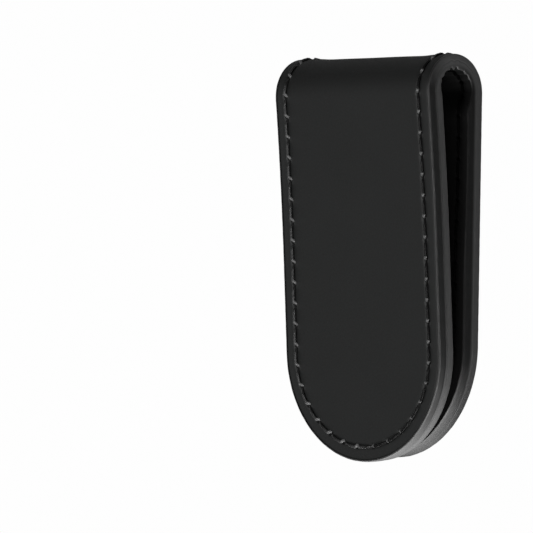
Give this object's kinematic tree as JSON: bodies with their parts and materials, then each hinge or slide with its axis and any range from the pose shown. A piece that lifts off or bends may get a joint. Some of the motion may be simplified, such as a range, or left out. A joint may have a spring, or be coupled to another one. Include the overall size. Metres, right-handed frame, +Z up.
{
  "type": "money clip",
  "caption": "Folded leather magnetic money clip with round-ended leaves, edge stitching, painted edges and hidden magnets, opening at its leather fold.",
  "frame": {"origin": "midway along the clip and on its middle line, under it on the face of the rear leaf that it lies on", "axes": "+Z up through the thickness from the rear leaf to the front leaf, +Y along the clip from the round tips to the fold, X across the width"},
  "size_m": [0.038, 0.0706, 0.0134],
  "materials": {
    "outer_leather": "satin black leather with a fine, nearly smooth grain",
    "lining_leather": "matt black lining leather with fine wrinkles at the fold",
    "thread": "black bonded polyester sewing thread",
    "edge_paint": "satin black resin edge paint with rounded edges",
    "stiffener": "grey-brown bonded fibre board",
    "magnet": "nickel-plated neodymium disc"
  },
  "bodies": {
    "rear_leaf": {"rear_edge_paint": "edge_paint", "rear_lining_leather": "lining_leather", "rear_lining_thread": "thread", "rear_magnet_left": "magnet", "rear_magnet_right": "magnet", "rear_outer_leather": "outer_leather", "rear_outer_thread": "thread", "rear_stiffener": "stiffener"},
    "fold_1": {"fold_1_edge_paint_left": "edge_paint", "fold_1_edge_paint_right": "edge_paint", "fold_1_lining_leather": "lining_leather", "fold_1_lining_thread_left": "thread", "fold_1_lining_thread_right": "thread", "fold_1_outer_leather": "outer_leather", "fold_1_outer_thread_left": "thread", "fold_1_outer_thread_right": "thread"},
    "fold_2": {"fold_2_edge_paint_left": "edge_paint", "fold_2_edge_paint_right": "edge_paint", "fold_2_lining_leather": "lining_leather", "fold_2_lining_thread_left": "thread", "fold_2_lining_thread_right": "thread", "fold_2_outer_leather": "outer_leather", "fold_2_outer_thread_left": "thread", "fold_2_outer_thread_right": "thread"},
    "fold_3": {"fold_3_edge_paint_left": "edge_paint", "fold_3_edge_paint_right": "edge_paint", "fold_3_lining_leather": "lining_leather", "fold_3_lining_thread_left": "thread", "fold_3_lining_thread_right": "thread", "fold_3_outer_leather": "outer_leather", "fold_3_outer_thread_left": "thread", "fold_3_outer_thread_right": "thread"},
    "front_leaf": {"front_edge_paint": "edge_paint", "front_lining_leather": "lining_leather", "front_lining_thread": "thread", "front_magnet_left": "magnet", "front_magnet_right": "magnet", "front_outer_leather": "outer_leather", "front_outer_thread": "thread", "front_stiffener": "stiffener"}
  },
  "joints": [
    {"name": "fold_hinge_1", "type": "hinge", "parent": "rear_leaf", "child": "fold_1", "pos_m": [0, 0.03124, 0.00055], "axis": [-1, 0, 0], "range_deg": [0, 45.9]},
    {"name": "fold_hinge_2", "type": "hinge", "parent": "fold_1", "child": "fold_2", "pos_m": [0, 0.03488, 0.00441], "axis": [-1, 0, 0], "range_deg": [0, 45.9]},
    {"name": "fold_hinge_3", "type": "hinge", "parent": "fold_2", "child": "fold_3", "pos_m": [0, 0.03457, 0.0097], "axis": [-1, 0, 0], "range_deg": [0, 45.9]},
    {"name": "fold_hinge_4", "type": "hinge", "parent": "fold_3", "child": "front_leaf", "pos_m": [0, 0.03051, 0.01312], "axis": [-1, 0, 0], "range_deg": [0, 45.9]}
  ],
  "couplings": [
    {"joint": "fold_hinge_2", "follows": "fold_hinge_1", "ratio": 1},
    {"joint": "fold_hinge_3", "follows": "fold_hinge_1", "ratio": 1},
    {"joint": "fold_hinge_4", "follows": "fold_hinge_1", "ratio": 1}
  ]
}
